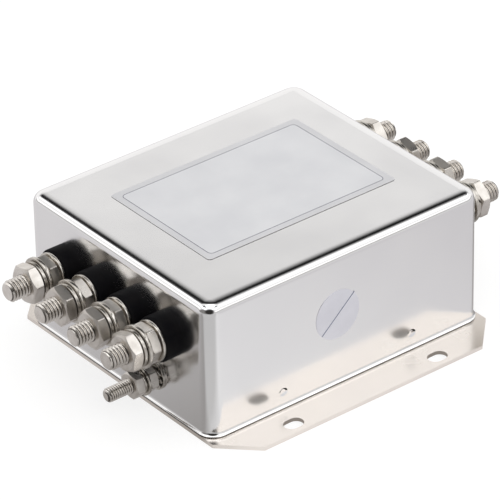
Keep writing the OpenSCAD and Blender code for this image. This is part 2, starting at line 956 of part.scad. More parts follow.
// Posts that stand on the plate, with a headed pin through the board
module board_supports() {
  post = support_diameter / 2;
  pin = support_pin / 2;
  head = pin + 2 * pin_clearance + support_head / 4;
  color("ivory")
    at_supports()
      rotate_extrude()
        polygon([
          [0, plate_thickness],
          [post, plate_thickness],
          [post, board_bottom],
          [pin, board_bottom],
          [pin, board_top],
          [head, board_top],
          [pin, board_top + support_head],
          [0, board_top + support_head]
        ]);
}

// Sheet on the plate, under the soldered side of the board
module insulating_sheet() {
  color("burlywood")
    translate([0, 0, plate_thickness])
      linear_extrude(sheet_thickness)
        soft_rectangle(sheet_length, sheet_width, component_gap);
}

module choke_core(end) {
  color("darkslategray")
    translate([end * choke_x, choke_y, choke_z])
      rotate_extrude()
        translate([(core_outer + core_inner) / 4, 0])
          soft_rectangle((core_outer - core_inner) / 2, core_height, core_edge);
}

// One turn of wire round the core's section
module wire_turn() {
  core_width = (core_outer - core_inner) / 2;
  grow = 2 * (wire_gap + wire_size);
  translate([(core_outer + core_inner) / 4, 0, 0])
    rotate([90, 0, 0])
      linear_extrude(wire_size, center = true)
        difference() {
          soft_rectangle(core_width + grow, core_height + grow, core_edge + grow / 2);
          soft_rectangle(core_width + 2 * wire_gap, core_height + 2 * wire_gap, core_edge + wire_gap);
        }
}

// Four windings on one core, each with two ends soldered into the board
module choke_windings(end) {
  $fn = 48;
  bottom = board_bottom - pin_reach;
  color("peru") {
    translate([end * choke_x, choke_y, choke_z])
      for (winding = [0 : 3], i = [0 : turns - 1])
        rotate([0, 0, 45 + 90 * winding + (i - (turns - 1) / 2) * turn_step])
          wire_turn();
    at_choke_pins(end)
      translate([0, 0, bottom])
        cylinder(d = wire_end, h = choke_z - bottom);
  }
}

module x_capacitors() {
  color("gold")
    at_x_caps() {
      translate([0, 0, board_top])
        linear_extrude(x_cap_height)
          soft_rectangle(x_cap_length, x_cap_thickness, cap_edge);
      pin_pair(x_cap_pins, pin_diameter, board_top + hidden_cut);
    }
}

module y_capacitors() {
  color("royalblue")
    at_y_caps() {
      translate([0, 0, board_top])
        linear_extrude(y_cap_height)
          soft_rectangle(y_cap_length, y_cap_thickness, cap_edge);
      pin_pair(y_cap_pins, pin_diameter, board_top + hidden_cut);
    }
}

// Resistors that lie along Y between the capacitors, on bent wire ends
module discharge_resistors() {
  color("tan")
    at_resistors() {
      translate([0, 0, resistor_z])
        rotate([90, 0, 0]) {
          cylinder(d = resistor_diameter, h = resistor_length, center = true);
          cylinder(d = pin_diameter, h = resistor_pins, center = true);
        }
      rotate([0, 0, 90])
        pin_pair(resistor_pins, pin_diameter, resistor_z + pin_diameter / 2);
    }
}

can();
base_plate();
rating_label();
inspection_sticker();
bushing(line_end, 1);  // line_bushing_1
bushing(line_end, 2);  // line_bushing_2
bushing(line_end, 3);  // line_bushing_3
bushing(line_end, 4);  // line_bushing_4
bushing(load_end, 1);  // load_bushing_1
bushing(load_end, 2);  // load_bushing_2
bushing(load_end, 3);  // load_bushing_3
bushing(load_end, 4);  // load_bushing_4
terminal_stud(line_end, 1);  // line_stud_1
terminal_stud(line_end, 2);  // line_stud_2
terminal_stud(line_end, 3);  // line_stud_3
terminal_stud(line_end, 4);  // line_stud_4
terminal_stud(load_end, 1);  // load_stud_1
terminal_stud(load_end, 2);  // load_stud_2
terminal_stud(load_end, 3);  // load_stud_3
terminal_stud(load_end, 4);  // load_stud_4
seat_washers(line_end);  // line_seat_washers
inner_nuts(line_end);  // line_inner_nuts
flat_washers(line_end);  // line_flat_washers
spring_washers(line_end);  // line_spring_washers
outer_nuts(line_end);  // line_outer_nuts
seat_washers(load_end);  // load_seat_washers
inner_nuts(load_end);  // load_inner_nuts
flat_washers(load_end);  // load_flat_washers
spring_washers(load_end);  // load_spring_washers
outer_nuts(load_end);  // load_outer_nuts
inner_insulators(line_end);  // line_inner_insulators
inner_insulators(load_end);  // load_inner_insulators
clamp_nuts(line_end);  // line_clamp_nuts
clamp_nuts(load_end);  // load_clamp_nuts
solder_lugs(line_end);  // line_solder_lugs
solder_lugs(load_end);  // load_solder_lugs
leads(line_end);  // line_leads
leads(load_end);  // load_leads
earth_stud();
earth_wall_washer();
earth_tooth_washer();
earth_nut(earth_inner_nut_place);  // earth_inner_nut
earth_flat_washer();
earth_spring_washer();
earth_nut(earth_outer_nut_place);  // earth_outer_nut
earth_clamp_nuts();
earth_bracket();
circuit_board();
board_supports();
insulating_sheet();
choke_core(line_end);  // line_choke_core
choke_core(load_end);  // load_choke_core
choke_windings(line_end);  // line_choke_windings
choke_windings(load_end);  // load_choke_windings
x_capacitors();
y_capacitors();
discharge_resistors();
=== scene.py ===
import math

import bmesh
import bpy
from mathutils import Matrix, Vector


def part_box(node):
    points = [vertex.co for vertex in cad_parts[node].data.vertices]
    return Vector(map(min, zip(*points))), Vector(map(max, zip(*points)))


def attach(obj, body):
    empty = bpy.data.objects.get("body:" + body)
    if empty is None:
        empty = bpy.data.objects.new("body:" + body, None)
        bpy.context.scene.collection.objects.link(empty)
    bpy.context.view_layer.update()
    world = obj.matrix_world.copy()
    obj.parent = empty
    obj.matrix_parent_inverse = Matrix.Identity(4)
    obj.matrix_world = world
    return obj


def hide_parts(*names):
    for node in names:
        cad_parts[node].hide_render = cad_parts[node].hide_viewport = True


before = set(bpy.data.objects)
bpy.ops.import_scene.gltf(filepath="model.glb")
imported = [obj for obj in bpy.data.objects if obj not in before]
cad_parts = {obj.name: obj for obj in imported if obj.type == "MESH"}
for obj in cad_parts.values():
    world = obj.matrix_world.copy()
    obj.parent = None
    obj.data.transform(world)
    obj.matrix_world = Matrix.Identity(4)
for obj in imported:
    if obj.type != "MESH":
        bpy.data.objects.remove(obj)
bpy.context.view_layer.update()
mm = 0.001
fullTurn = 2 * math.pi
# millimetres within which vertices are one, and within which they lie on a height or radius
weld = 0.0005
closeBy = 0.01
# degrees between two faces from which their edge is shaded crisp, or is bevelled
crispAngle = 28
sharpAngle = 40
print("frame loaded")


# Mesh helpers: a bmesh is made with its own piece's sizes in millimetres, then placed in metres

def markSharp(bm):
    # an edge is crisp where its faces turn sharply, or where a flat panel meets a narrow round
    leastTurn = math.radians(0.3)
    panelRatio = 6
    for face in bm.faces:
        face.smooth = True
    for edge in bm.edges:
        if len(edge.link_faces) != 2:
            continue
        small, large = sorted(face.calc_area() for face in edge.link_faces)
        turn = edge.calc_face_angle(0)
        even = turn < leastTurn or large < panelRatio * small
        edge.smooth = even and turn < math.radians(crispAngle)


def vertsOf(geometry):
    return [item for item in geometry if isinstance(item, bmesh.types.BMVert)]


def edgesOf(geometry):
    return [item for item in geometry if isinstance(item, bmesh.types.BMEdge)]


def spinRound(bm, geometry, angle, steps, climb=0.0, merge=False):
    # turned about Z, and raised by the climb on the way
    bmesh.ops.spin(
        bm,
        geom=geometry,
        cent=(0, 0, 0),
        axis=(0, 0, 1),
        dvec=(0, 0, climb / steps),
        angle=angle,
        steps=steps,
        use_merge=merge,
    )


def lathe(profile, segments=72, closed=True):
    bm = bmesh.new()
    corners = [bm.verts.new((radius, 0, height)) for radius, height in profile]
    lines = [bm.edges.new(pair) for pair in zip(corners, corners[1:])]
    if closed:
        lines.append(bm.edges.new((corners[-1], corners[0])))
    spinRound(bm, corners + lines, fullTurn, segments, merge=True)
    bmesh.ops.remove_doubles(bm, verts=bm.verts, dist=weld)
    bmesh.ops.recalc_face_normals(bm, faces=bm.faces)
    return bm


def bevelEdges(bm, edges, size, segments):
    bmesh.ops.bevel(
        bm,
        geom=edges,
        offset=size,
        offset_type="OFFSET",
        segments=segments,
        profile=0.5,
        affect="EDGES",
        clamp_overlap=True,
        material=-1,
    )


def roundRing(bm, radius, height, size, segments):
    # rounds the ring of edges that a lathe made at this radius and height
    def onRing(vert):
        distances = (vert.co.xy.length - radius, vert.co.z - height)
        return all(abs(distance) < closeBy for distance in distances)

    ring = [edge for edge in bm.edges if all(onRing(vert) for vert in edge.verts)]
    bevelEdges(bm, ring, size, segments)


def bevelSharp(bm, size, segments):
    least = math.radians(sharpAngle)
    inner = [edge for edge in bm.edges if len(edge.link_faces) == 2]
    bevelEdges(bm, [edge for edge in inner if edge.calc_face_angle(0) > least], size, segments)


def roundedRectangle(halfLength, halfWidth, radius, segments):
    # one flat face with rounded corners
    bm = bmesh.new()
    corners = [(-1, -1), (1, -1), (1, 1), (-1, 1)]
    face = bm.faces.new([bm.verts.new((x * halfLength, y * halfWidth, 0)) for x, y in corners])
    bmesh.ops.bevel(
        bm,
        geom=face.verts[:],
        offset=radius,
        offset_type="OFFSET",
        segments=segments,
        profile=0.5,
        affect="VERTICES",
        material=-1,
    )
    return bm


def gather(parts):
    # one bmesh from several, each with the place it takes, in metres
    whole = bmesh.new()
    for part, place in parts:
        bmesh.ops.transform(part, matrix=place @ Matrix.Scale(mm, 4), verts=part.verts)
        carrier = bpy.data.meshes.new("carrier")
        part.to_mesh(carrier)
        part.free()
        whole.from_mesh(carrier)
        bpy.data.meshes.remove(carrier)
    return whole


def finishPiece(name, parts, looks, nodes):
    bm = gather(parts)
    bmesh.ops.recalc_face_normals(bm, faces=bm.faces)
    markSharp(bm)
    mesh = bpy.data.meshes.new(name)
    bm.to_mesh(mesh)
    bm.free()
    for look in looks:
        mesh.materials.append(materials[look])
    piece = bpy.data.objects.new(name, mesh)
    bpy.context.scene.collection.objects.link(piece)
    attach(piece, "root")
    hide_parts(*nodes)
    return piece


def pieceName(node):
    # the node's words run together, each with a capital but the first
    first, *others = node.split("_")
    return first + "".join(word.title() for word in others)


def paintFaces(bm, index, rule):
    for face in bm.faces:
        if rule(face):
            face.material_index = index


# Node groups that several materials share

def newGroup(name, inputs, outputs):
    group = bpy.data.node_groups.new(name, "ShaderNodeTree")
    for direction, sockets in [("INPUT", inputs), ("OUTPUT", outputs)]:
        for label, kind in sockets.items():
            group.interface.new_socket(label, in_out=direction, socket_type=f"NodeSocket{kind}")
    source = group.nodes.new("NodeGroupInput")
    sink = group.nodes.new("NodeGroupOutput")
    return group, source, sink


def addNoise(tree, vector, scale, detail):
    noise = tree.nodes.new("ShaderNodeTexNoise")
    noise.inputs["Detail"].default_value = detail
    tree.links.new(vector, noise.inputs["Vector"])
    tree.links.new(scale, noise.inputs["Scale"])
    return noise.outputs["Fac"]


def addRange(tree, value, fromLow, fromHigh, toLow, toHigh):
    node = tree.nodes.new("ShaderNodeMapRange")
    limits = {"From Min": fromLow, "From Max": fromHigh, "To Min": toLow, "To Max": toHigh}
    tree.links.new(value, node.inputs["Value"])
    for label, limit in limits.items():
        if isinstance(limit, (int, float)):
            node.inputs[label].default_value = limit
        else:
            tree.links.new(limit, node.inputs[label])
    return node.outputs["Result"]


def addMix(tree, factor, first, second):
    node = tree.nodes.new("ShaderNodeMix")
    node.data_type = "RGBA"
    tree.links.new(factor, node.inputs["Factor"])
    for label, colour in [("A", first), ("B", second)]:
        socket = next(s for s in node.inputs if s.name == label and s.type == "RGBA")
        if isinstance(colour, tuple):
            socket.default_value = (*colour, 1)
        else:
            tree.links.new(colour, socket)
    return next(s for s in node.outputs if s.type == "RGBA")


noiseDetail = {"Clouds": 3.0, "Wave": 0.0, "Grain": 2.0}
# the part of the noise over which the colour and the roughness go from end to end
colourSpread = (0.35, 0.65)
roughnessSpread = (0.3, 0.7)
coatRoughness = 0.1


def buildMottle():
    # soft clouds over a surface: a colour between two, and a roughness between two
    group, source, sink = newGroup(
        "mottle",
        {
            "Vector": "Vector",
            "Scale": "Float",
            "Light": "Color",
            "Dark": "Color",
            "Low Roughness": "Float",
            "High Roughness": "Float",
        },
        {"Color": "Color", "Roughness": "Float"},
    )
    given = source.outputs
    clouds = addNoise(group, given["Vector"], given["Scale"], noiseDetail["Clouds"])
    spread = addRange(group, clouds, *colourSpread, 0.0, 1.0)
    colour = addMix(group, spread, given["Light"], given["Dark"])
    limits = (given["Low Roughness"], given["High Roughness"])
    rough = addRange(group, clouds, *roughnessSpread, *limits)
    group.links.new(colour, sink.inputs["Color"])
    group.links.new(rough, sink.inputs["Roughness"])
    return group


def buildRelief():
    # a fine grain over slow waves, as one normal
    layers = ("Wave", "Grain")
    inputs = {"Vector": "Vector"}
    for label in layers:
        inputs[f"{label} Scale"] = "Float"
        inputs[f"{label} Depth"] = "Float"
    group, source, sink = newGroup("relief", inputs, {"Normal": "Vector"})
    given = source.outputs
    normal = None
    for label in layers:
        height = addNoise(group, given["Vector"], given[f"{label} Scale"], noiseDetail[label])
        bump = group.nodes.new("ShaderNodeBump")
        bump.inputs["Strength"].default_value = 1.0
        group.links.new(given[f"{label} Depth"], bump.inputs["Distance"])
        group.links.new(height, bump.inputs["Height"])
        if normal:
            group.links.new(normal, bump.inputs["Normal"])
        normal = bump.outputs["Normal"]
    group.links.new(normal, sink.inputs["Normal"])
    return group


mottle = buildMottle()
relief = buildRelief()


def addGroup(tree, group, vector, values):
    # a shared group with this material's own values
    node = tree.nodes.new("ShaderNodeGroup")
    node.node_tree = group
    tree.links.new(vector, node.inputs["Vector"])
    for label, value in values.items():
        node.inputs[label].default_value = value
    return node.outputs


def newMaterial(name, look):
    material = bpy.data.materials.new(name)
    material.use_nodes = True
    tree = material.node_tree
    shader = tree.nodes["Principled BSDF"]
    shader.inputs["Metallic"].default_value = look.get("metallic", 0.0)
    shader.inputs["Specular IOR Level"].default_value = look.get("specular", 0.5)
    shader.inputs["Coat Weight"].default_value = look.get("coat", 0.0)
    shader.inputs["Coat Roughness"].default_value = coatRoughness
    place = tree.nodes.new("ShaderNodeTexCoord")
    stretch = tree.nodes.new("ShaderNodeMapping")
    stretch.inputs["Scale"].default_value = look.get("stretch", (1, 1, 1))
    tree.links.new(place.outputs["Object"], stretch.inputs["Vector"])
    vector = stretch.outputs["Vector"]
    clouds = {
        "Scale": look["cloudScale"],
        "Light": (*look["light"], 1),
        "Dark": (*look["dark"], 1),
        "Low Roughness": look["roughness"][0],
        "High Roughness": look["roughness"][1],
    }
    clouds = addGroup(tree, mottle, vector, clouds)
    bumps = {
        "Grain Scale": look["grain"][0],
        "Grain Depth": look["grain"][1] * mm,
        "Wave Scale": look["wave"][0],
        "Wave Depth": look["wave"][1] * mm,
    }
    bumps = addGroup(tree, relief, vector, bumps)
    tree.links.new(clouds["Color"], shader.inputs["Base Color"])
    tree.links.new(clouds["Roughness"], shader.inputs["Roughness"])
    tree.links.new(bumps["Normal"], shader.inputs["Normal"])
    return material


# Finishes of this filter's own pieces

nickel = {"metallic": 1.0, "light": (0.84, 0.84, 0.845), "dark": (0.82, 0.82, 0.83), "cloudScale": 45}
plating = {"metallic": 1.0, "cloudScale": 350, "wave": (500, 0.01)}
film = {"metallic": 0.3, "cloudScale": 70, "grain": (3000, 0.0012), "wave": (45, 0.02)}
ink = {"specular": 0.4, "cloudScale": 900, "roughness": (0.4, 0.5), "grain": (4000, 0.001)}
dipped = {"roughness": (0.3, 0.42), "grain": (3000, 0.003), "wave": (150, 0.03)}
finishes = {
    "nickelSheet": {
        **nickel,
        "roughness": (0.15, 0.2),
        "grain": (3500, 0.0005),
        "wave": (28, 0.05),
    },
    "drawnEdge": {
        **nickel,
        "roughness": (0.1, 0.13),
        "grain": (3500, 0.0003),
        "wave": (28, 0.03),
    },
    "nickelPlate": {
        "metallic": 1.0,
        "light": (0.925, 0.865, 0.81),
        "dark": (0.885, 0.83, 0.775),
        "cloudScale": 60,
        "roughness": (0.2, 0.28),
        "grain": (3500, 0.001),
        "wave": (40, 0.03),
    },
    "platedFastener": {
        **plating,
        "light": (0.61, 0.585, 0.545),
        "dark": (0.5, 0.47, 0.43),
        "roughness": (0.18, 0.27),
        "grain": (6000, 0.0015),
    },
    "platedNut": {
        **plating,
        "light": (0.73, 0.7, 0.66),
        "dark": (0.62, 0.585, 0.545),
        "roughness": (0.26, 0.34),
        "grain": (6000, 0.0025),
    },
    "platedStud": {
        **plating,
        "light": (0.8, 0.77, 0.73),
        "dark": (0.7, 0.665, 0.625),
        "roughness": (0.2, 0.28),
        "grain": (6000, 0.0015),
    },
    # a dark copy of the stud's plating for the thread roots: painted shade in the grooves
    "threadRootShade": {
        **plating,
        "light": (0.2, 0.185, 0.17),
        "dark": (0.12, 0.11, 0.1),
        "roughness": (0.4, 0.5),
        "grain": (6000, 0.0015),
    },
    "bushingPlastic": {
        "specular": 0.03,
        "light": (0.007, 0.0065, 0.007),
        "dark": (0.004, 0.004, 0.005),
        "cloudScale": 220,
        "roughness": (0.4, 0.52),
        "grain": (5000, 0.004),
        "wave": (160, 0.03),
    },
    "labelFilm": {
        **film,
        "light": (0.785, 0.79, 0.81),
        "dark": (0.735, 0.74, 0.765),
        "roughness": (0.32, 0.42),
    },
    "labelMargin": {
        **film,
        "light": (0.71, 0.71, 0.73),
        "dark": (0.68, 0.68, 0.70),
        "roughness": (0.3, 0.4),
    },
    # near-black finish for the label's side faces: painted shade along its edge
    "labelEdgeShade": {
        "specular": 0.2,
        "light": (0.05, 0.046, 0.042),
        "dark": (0.03, 0.028, 0.026),
        "cloudScale": 300,
        "roughness": (0.5, 0.6),
        "grain": (3000, 0.001),
        "wave": (45, 0.01),
    },
    "borderInk": {
        **ink,
        "light": (0.1, 0.1, 0.14),
        "dark": (0.16, 0.16, 0.21),
        "wave": (45, 0.01),
    },
    "stickerFilm": {
        "metallic": 0.5,
        "light": (0.71, 0.71, 0.765),
        "dark": (0.67, 0.67, 0.725),
        "cloudScale": 150,
        "roughness": (0.35, 0.45),
        "grain": (3000, 0.0012),
        "wave": (80, 0.02),
    },
    "stickerInk": {
        **ink,
        "light": (0.07, 0.09, 0.16),
        "dark": (0.12, 0.14, 0.22),
        "wave": (80, 0.01),
    },
    "tinnedCopper": {
        "metallic": 1.0,
        "light": (0.82, 0.78, 0.72),
        "dark": (0.74, 0.66, 0.55),
        "cloudScale": 300,
        "roughness": (0.2, 0.35),
        "grain": (5000, 0.002),
        "wave": (200, 0.02),
    },
    "leadSleeve": {
        "light": (0.35, 0.13, 0.05),
        "dark": (0.28, 0.10, 0.04),
        "cloudScale": 300,
        "roughness": (0.4, 0.5),
        "grain": (4000, 0.003),
        "wave": (200, 0.03),
    },
    "boardLaminate": {
        "light": (0.06, 0.24, 0.10),
        "dark": (0.04, 0.19, 0.08),
        "cloudScale": 400,
        "roughness": (0.25, 0.35),
        "grain": (2500, 0.004),
        "wave": (100, 0.02),
    },
    "nylonPost": {
        "light": (0.82, 0.79, 0.70),
        "dark": (0.76, 0.73, 0.64),
        "cloudScale": 200,
        "roughness": (0.4, 0.5),
        "grain": (3000, 0.003),
        "wave": (150, 0.02),
    },
    "insulatingPaper": {
        "light": (0.62, 0.50, 0.32),
        "dark": (0.54, 0.43, 0.27),
        "cloudScale": 250,
        "roughness": (0.75, 0.9),
        "grain": (1800, 0.02),
        "wave": (90, 0.05),
        "stretch": (1, 3, 1),
    },
    "coatedFerrite": {
        "light": (0.05, 0.09, 0.09),
        "dark": (0.03, 0.06, 0.06),
        "cloudScale": 250,
        "roughness": (0.35, 0.5),
        "grain": (2500, 0.006),
        "wave": (200, 0.05),
    },
    "enamelledWire": {
        "metallic": 0.6,
        "coat": 0.6,
        "light": (0.62, 0.27, 0.10),
        "dark": (0.48, 0.19, 0.07),
        "cloudScale": 400,
        "roughness": (0.2, 0.3),
        "grain": (4000, 0.002),
        "wave": (300, 0.02),
    },
    "capacitorCase": {
        **dipped,
        "light": (0.72, 0.52, 0.06),
        "dark": (0.64, 0.45, 0.05),
        "cloudScale": 200,
    },
    "earthCapacitorCase": {
        **dipped,
        "light": (0.07, 0.18, 0.42),
        "dark": (0.05, 0.14, 0.36),
        "cloudScale": 300,
    },
    "resistorBody": {
        "light": (0.66, 0.50, 0.30),
        "dark": (0.58, 0.43, 0.25),
        "cloudScale": 400,
        "roughness": (0.4, 0.5),
        "grain": (3000, 0.003),
        "wave": (200, 0.03),
    },
}
materials = {name: newMaterial(name, look) for name, look in finishes.items()}
print("materials made:", len(materials))


# The drawn can: one closed section carried round a rectangle with rounded corners

canSizes = {
    "cornerRadius": 4.4,
    "topRadius": 2.9,
    "crownRadius": 19.5,
    "crownLean": 4.5,
    "rimReach": 0.65,
    "rimRound": 0.14,
    "rimSlit": 0.18,
    "rimLean": 54.0,
    "wall": 1.0,
    "cornerSegments": 24,
    "topSegments": 16,
    "rimSegments": 6,
    "flareSegments": 10,
    "crownSegments": 4,
    "stakeSpacing": 44.2,
    "stakeHeight": 4.6,
    "stakeRadius": 1.45,
    "stakeDepth": 0.25,
    "stakeLean": 8.0,
    "capSegments": 10,
    "lanceWidth": 0.5,
    "lanceDepth": 1.6,
    "lanceSweep": 150.0,
    # the cutters stand this far out of the sheet
    "stakeClearance": 1.0,
    "lanceClearance": 0.3,
    # a face belongs to the drawn edge where its normal's upward part is between these
    "edgeNormal": (0.02, 0.99999),
}
canLow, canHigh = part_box("can")
wallX = canHigh.x - canSizes["rimReach"] * mm
wallY = canHigh.y - canSizes["rimReach"] * mm


def arcPoints(centre, radius, start, stop, steps):
    # points of an arc in a section, each as (outwards, upwards), angles from outwards to upwards
    turns = [math.radians(start + (stop - start) * i / steps) for i in range(steps + 1)]
    return [
        (centre[0] + radius * math.cos(turn), centre[1] + radius * math.sin(turn))
        for turn in turns
    ]


def canSection(sizes, foot, top):
    # from the middle of the inside face down to the foot, round the rim and up to the top
    wall = sizes["wall"]
    radius = sizes["topRadius"]
    reach = sizes["rimReach"]
    edge = sizes["rimRound"]
    lean = sizes["rimLean"]
    steps = sizes["topSegments"]
    inner = arcPoints((-radius, top - radius), radius - wall, 90, 0, steps)
    slit = foot + sizes["rimSlit"]
    # the foot flares outwards in one bend and stands over a narrow slit
    tip = arcPoints((reach - edge, slit + edge), edge, -90, lean, sizes["rimSegments"])
    out, up = tip[-1]
    bend = out / (1 - math.cos(math.radians(lean)))
    centre = (bend, up + bend * math.sin(math.radians(lean)))
    section = inner + [(-wall, foot), (0, foot), (0, slit)] + tip
    section += arcPoints(centre, bend, 180 + lean, 180, sizes["flareSegments"])[1:]
    # the tight bend ends a little short of level, and a crown of large radius goes on from it
    crown = sizes["crownRadius"]
    turn = 90 - sizes["crownLean"]
    along = math.cos(math.radians(turn))
    rise = math.sin(math.radians(turn))
    apart = crown - radius
    section += arcPoints((-radius, top - crown + apart * rise), radius, 0, turn, steps)
    centre = (-radius - apart * along, top - crown)
    section += arcPoints(centre, crown, turn, 90, sizes["crownSegments"])[1:]
    return section


def sweepRound(halfLength, halfWidth, radius, segments, section):
    # the rim of a rounded rectangle is extruded and moved along the section
    core = Vector((halfLength - radius, halfWidth - radius))
    bm = roundedRectangle(halfLength, halfWidth, radius, segments)
    ring = bm.edges[:]

    def settle(verts, offset, height):
        for vert in verts:
            nearest = Vector([max(-c, min(c, v)) for c, v in zip(core, vert.co.xy)])
            away = (vert.co.xy - nearest).normalized()
            vert.co.xy = nearest + away * (radius + offset)
            vert.co.z = height

    settle(bm.verts, *section[0])
    for offset, height in section[1:]:
        made = bmesh.ops.extrude_edge_only(bm, edges=ring)["geom"]
        ring = edgesOf(made)
        settle(vertsOf(made), offset, height)
    bmesh.ops.edgeloop_fill(bm, edges=ring)
    return bm


def stakeCutter(sizes):
    # a shallow cap, leaning so that it runs out at its lower side
    radius = sizes["stakeRadius"]
    depth = sizes["stakeDepth"]
    ball = (radius**2 + depth**2) / (2 * depth)
    sweep = math.degrees(math.asin(radius / ball))
    cap = arcPoints((0, ball - depth), ball, -90, -90 + sweep, sizes["capSegments"])
    above = sizes["stakeClearance"]
    bm = lathe(cap + [(radius, above), (0, above)], segments=48)
    lean = Matrix.Rotation(math.radians(-sizes["stakeLean"]), 4, "X")
    bmesh.ops.transform(bm, matrix=lean, verts=bm.verts)
    return bm


def lanceCutter(sizes):
    # a narrow groove along the upper edge of a stake mark, where the sheet was sheared
    outer = sizes["stakeRadius"]
    inner = outer - sizes["lanceWidth"]
    low = -sizes["lanceDepth"]
    high = sizes["lanceClearance"]
    bm = bmesh.new()
    corners = [(inner, low), (outer, low), (outer, high), (inner, high)]
    face = bm.faces.new([bm.verts.new((radius, 0, height)) for radius, height in corners])
    sweep = sizes["lanceSweep"]
    spinRound(bm, [face], math.radians(sweep), steps=24)
    lean = Matrix.Rotation(math.radians(90 - sweep / 2), 4, "Z")
    bmesh.ops.transform(bm, matrix=lean, verts=bm.verts)
    bmesh.ops.recalc_face_normals(bm, faces=bm.faces)
    return bm


def cutWith(piece, cutter):
    # an exact boolean, applied to the piece's mesh
    carrier = bpy.data.objects.new("cutter", bpy.data.meshes.new("cutter"))
    cutter.to_mesh(carrier.data)
    cutter.free()
    bpy.context.scene.collection.objects.link(carrier)
    cut = piece.modifiers.new("cut", "BOOLEAN")
    cut.operation = "DIFFERENCE"
    cut.solver = "EXACT"
    cut.object = carrier
    bpy.context.view_layer.update()
    evaluated = piece.evaluated_get(bpy.context.evaluated_depsgraph_get())
    result = bpy.data.meshes.new_from_object(evaluated)
    piece.modifiers.remove(cut)
    piece.data = result
    bpy.data.objects.remove(carrier)


def buildCan():
    sizes = canSizes
    foot = canLow.z / mm
    top = canHigh.z / mm
    shell = sweepRound(
        wallX / mm,
        wallY / mm,
        sizes["cornerRadius"],
        sizes["cornerSegments"],
        canSection(sizes, foot, top),
    )
    bmesh.ops.recalc_face_normals(shell, faces=shell.faces)
    low, high = sizes["edgeNormal"]
    paintFaces(shell, 1, lambda face: low < face.normal.z < high)
    sheet = ["nickelSheet", "drawnEdge"]
    piece = finishPiece("canShell", [(shell, Matrix())], sheet, ["can"])
    stakes = []
    lances = []
    for side in (-1, 1):
        for x in (-0.5, 0.5):
            upright = Matrix.Rotation(math.radians(90 + 90 * side), 4, "Z")
            turned = Matrix.Rotation(math.radians(-90 * side), 4, "X") @ upright
            spot = Vector((x * sizes["stakeSpacing"] * mm, side * wallY, 0))
            spot.z = canLow.z + sizes["stakeHeight"] * mm
            place = Matrix.Translation(spot) @ turned
            stakes.append((stakeCutter(sizes), place))
            lances.append((lanceCutter(sizes), place))
    cutWith(piece, gather(stakes))
    cutWith(piece, gather(lances))
    bm = bmesh.new()
    bm.from_mesh(piece.data)
    markSharp(bm)
    bm.to_mesh(piece.data)
    bm.free()


buildCan()
print("can made")


# The base plate keeps its exact form and gains softened edges

plate = {"edge": 0.18, "weld": 0.001, "flatAngle": 0.5}


def buildBasePlate():
    bm = bmesh.new()
    bm.from_mesh(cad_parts["base_plate"].data)
    bmesh.ops.scale(bm, vec=(1 / mm, 1 / mm, 1 / mm), verts=bm.verts)
    bmesh.ops.remove_doubles(bm, verts=bm.verts, dist=plate["weld"])
    bmesh.ops.dissolve_limit(
        bm,
        angle_limit=math.radians(plate["flatAngle"]),
        verts=bm.verts,
        edges=bm.edges,
        use_dissolve_boundaries=False,
    )
    bevelSharp(bm, plate["edge"], segments=3)
    finishPiece("flangedPlate", [(bm, Matrix())], ["nickelPlate"], ["base_plate"])


buildBasePlate()
print("base plate made")


# Terminals: everything that repeats at the four studs of each end

ends = {"line": -1, "load": 1}
numbers = [1, 2, 3, 4]


def outwards(side):
    # local Z points out of this end's wall
    turn = Matrix.Rotation(math.radians(90 * side), 4, "Z")
    return turn @ Matrix.Rotation(math.radians(90), 4, "X")


def terminalPlace(end, number, distance=0.0, turn=0.0):
    # on the stud's axis, this many millimetres out from the wall's face
    low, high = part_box(f"{end}_stud_{number}")
    middle = (low + high) / 2
    side = ends[end]
    spot = Vector((side * (wallX + distance * mm), middle.y, middle.z))
    turned = Matrix.Rotation(math.radians(turn), 4, "Z")
    return Matrix.Translation(spot) @ outwards(side) @ turned


def nutTurn(side, angle):
    # a nut's vertex lies at this angle, measured from +Y towards +Z
    return angle if side > 0 else 180 - angle


def span(node, side):
    # where a node starts and ends, in millimetres out from the wall's face
    return sorted((side * corner.x - wallX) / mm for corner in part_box(node))


bushing = {"diameter": 12.8, "neck": 9.0, "bore": 6.2, "edge": 0.7, "mouth": 0.3}
washers = {
    "seat_washers": {"diameter": 11.8, "hole": 6.4, "edge": 0.2},
    "flat_washers": {"diameter": 12.3, "hole": 6.4, "edge": 0.25},
}
springWasher = {
    "diameter": 10.8,
    "hole": 6.4,
    "gap": 7.0,
    "slant": 35.0,
    "lift": 0.12,
    "edge": 0.12,
    "turns": [200, 250, 230, 160],
}
nut = {
    "across": 10.0,
    "thread": 6.0,
    "chamferShare": 0.94,
    "edge": 0.15,
    "inner_nuts": [10, 30, 5, 58],
    "outer_nuts": [47, 17, 8, 41],
}
stud = {"diameter": 6.0, "pitch": 1.0, "chamfer": 0.7, "dome": 0.0, "turnStep": 70}
threadForm = {
    # the depth is a share of the pitch, and the groove is painted dark, as painted shade in the
    # thread roots, below a share of the depth
    "depthShare": 0.58,
    "paintedShadeShare": 0.75,
    # how far the section rises from root to crest along one pitch, both as shares
    "lowerFlank": [(0, 0), (0.1, 0.03), (0.2, 0.2), (0.38, 0.86), (0.46, 1)],
    "upperFlank": [(0.56, 1), (0.64, 0.86), (0.82, 0.2), (0.92, 0.03), (1, 0)],
    "stepsPerTurn": 40,
    "weld": 0.002,
}


def makeBushing(inside, outside):
    radius = bushing["diameter"] / 2
    neck = bushing["neck"] / 2
    bore = bushing["bore"] / 2
    profile = [(bore, inside), (neck, inside), (neck, 0), (radius, 0), (radius, outside)]
    bm = lathe(profile + [(bore, outside)], segments=96)
    roundRing(bm, radius, outside, bushing["edge"], segments=6)
    roundRing(bm, bore, outside, bushing["mouth"], segments=3)
    return bm


def makeWasher(sizes, thickness):
    radius = sizes["diameter"] / 2
    hole = sizes["hole"] / 2
    bm = lathe([(hole, 0), (radius, 0), (radius, thickness), (hole, thickness)])
    for ring in (radius, hole):
        for height in (0, thickness):
            roundRing(bm, ring, height, sizes["edge"], segments=3)
    return bm


